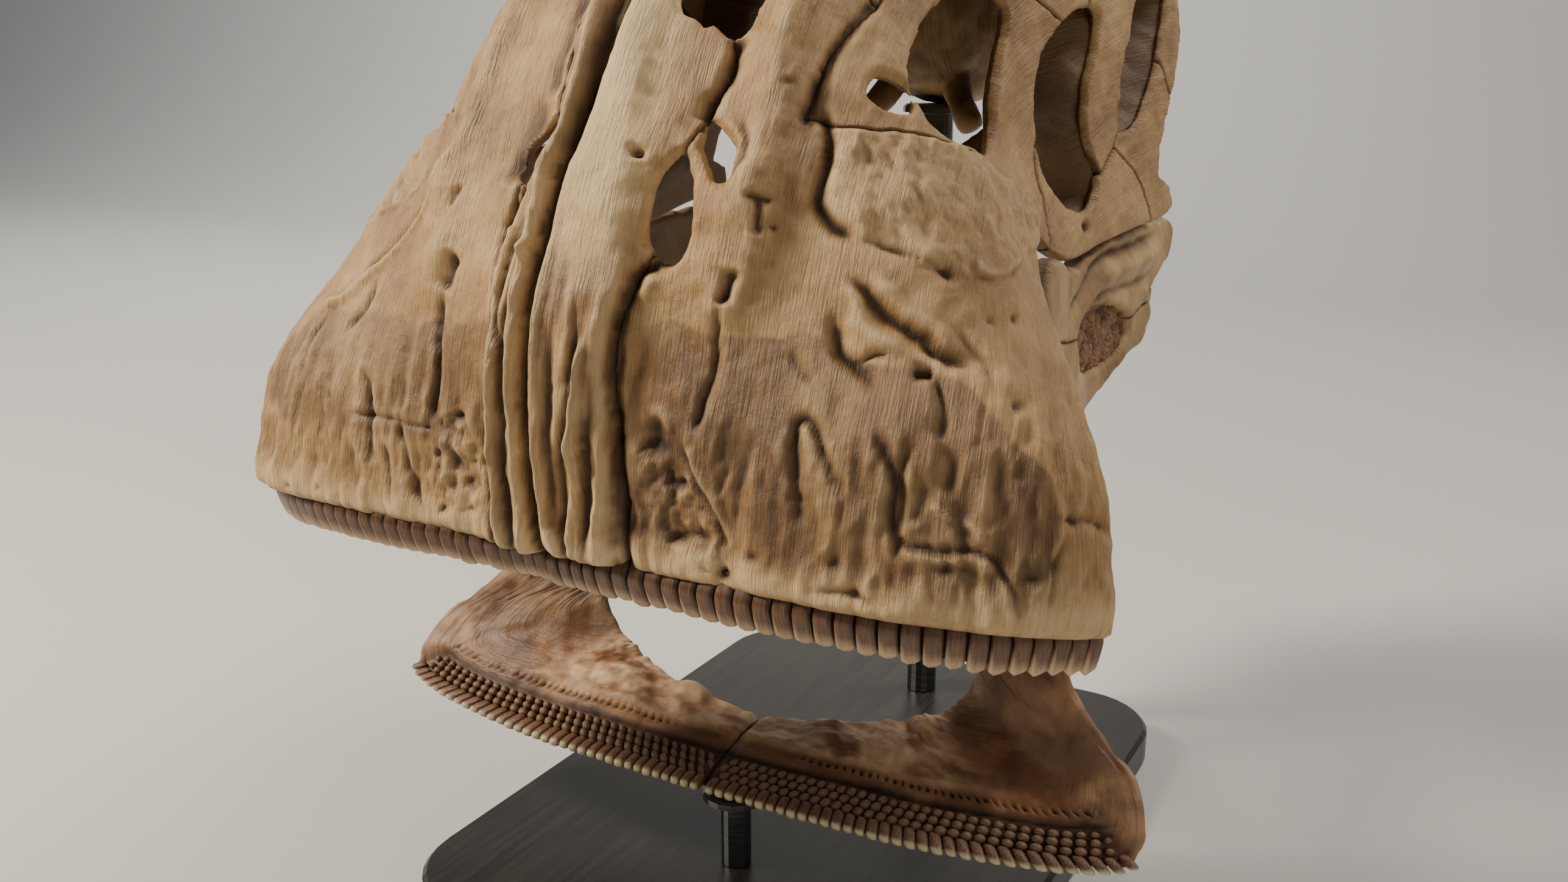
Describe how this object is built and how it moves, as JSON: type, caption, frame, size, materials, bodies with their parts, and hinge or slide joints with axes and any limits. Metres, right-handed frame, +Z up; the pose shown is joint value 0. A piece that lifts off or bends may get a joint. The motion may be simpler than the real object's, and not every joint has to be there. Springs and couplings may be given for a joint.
{
  "type": "dinosaur skull fossil",
  "caption": "Skull of a broad-muzzled plant-eating dinosaur with its jaws hanging open, as a still museum model on a flat base with two short rods.",
  "frame": {"origin": "middle of the underside of the base, which is also the middle of the whole model seen from above", "axes": "+Z up, the muzzle faces -Y, the animal's left side is +X"},
  "size_m": [0.2698, 0.3005, 0.3401],
  "materials": {
    "bone": "cast fossil bone, tan to cream with brown grooves, satin",
    "jaw_bone": "cast fossil bone, reddish brown, satin",
    "stand_base": "black lacquer, satin",
    "stand_rod": "dark steel"
  },
  "bodies": {
    "root": {"premaxilla_left": "bone", "premaxilla_right": "bone", "maxilla_left": "bone", "maxilla_right": "bone", "nasal_left": "bone", "nasal_right": "bone", "lacrimal_left": "bone", "lacrimal_right": "bone", "prefrontal_left": "bone", "prefrontal_right": "bone", "frontal_left": "bone", "frontal_right": "bone", "postorbital_left": "bone", "postorbital_right": "bone", "jugal_left": "bone", "jugal_right": "bone", "quadratojugal_left": "bone", "quadratojugal_right": "bone", "squamosal_left": "bone", "squamosal_right": "bone", "dentary_left": "jaw_bone", "dentary_right": "jaw_bone", "surangular_left": "jaw_bone", "surangular_right": "jaw_bone", "angular_left": "jaw_bone", "angular_right": "jaw_bone", "articular_left": "jaw_bone", "articular_right": "jaw_bone", "quadrate_left": "bone", "quadrate_right": "bone", "pterygoid_left": "bone", "pterygoid_right": "bone", "parietal": "bone", "braincase": "bone", "stand_base": "stand_base", "stand_post": "stand_rod", "stand_jaw_rod": "stand_rod"}
  },
  "joints": []
}
